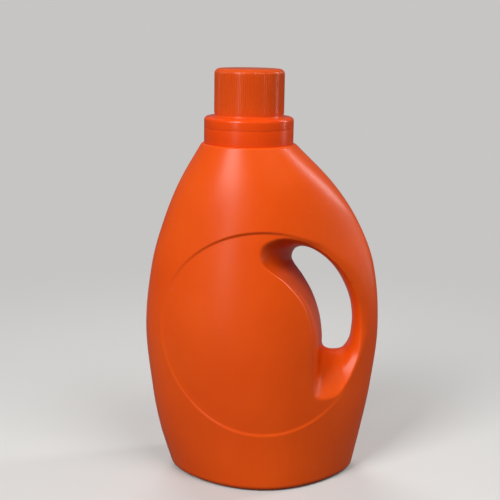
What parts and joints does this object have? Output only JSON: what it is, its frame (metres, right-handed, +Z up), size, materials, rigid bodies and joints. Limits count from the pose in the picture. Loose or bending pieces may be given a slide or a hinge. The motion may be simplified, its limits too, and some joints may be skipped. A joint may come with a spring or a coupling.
{
  "type": "detergent bottle",
  "caption": "Blown plastic detergent bottle with a through handle, a recessed round panel, a drain-back pouring spout and a ribbed screw-on dosing cap.",
  "frame": {"origin": "on the ground, under the middle of the body's width and depth", "axes": "+Z up, +X towards the handle, the front with its round panel faces -Y and the back is its mirror image"},
  "size_m": [0.1589, 0.1004, 0.2745],
  "materials": {
    "bottle_plastic": "satin blow-moulded polyethylene",
    "spout_plastic": "smooth injection-moulded polypropylene",
    "washer_foam": "closed-cell polyethylene foam",
    "cap_plastic": "satin injection-moulded polypropylene"
  },
  "bodies": {
    "bottle": {"bottle": "bottle_plastic", "pour_spout": "spout_plastic"},
    "washer": {"sealing_washer": "washer_foam"},
    "cap": {"dosing_cap": "cap_plastic"}
  },
  "joints": [
    {"name": "cap_rise", "type": "slide", "parent": "bottle", "child": "washer", "axis": [0, 0, 1], "range_m": [0, 0.015]},
    {"name": "cap_turn", "type": "hinge", "parent": "washer", "child": "cap", "pos_m": [-0.011, 0, 0.2419], "axis": [0, 0, 1], "range_deg": [0, 540]}
  ],
  "couplings": [
    {"joint": "cap_rise", "follows": "cap_turn", "m_per_rad": 0.0015915}
  ]
}
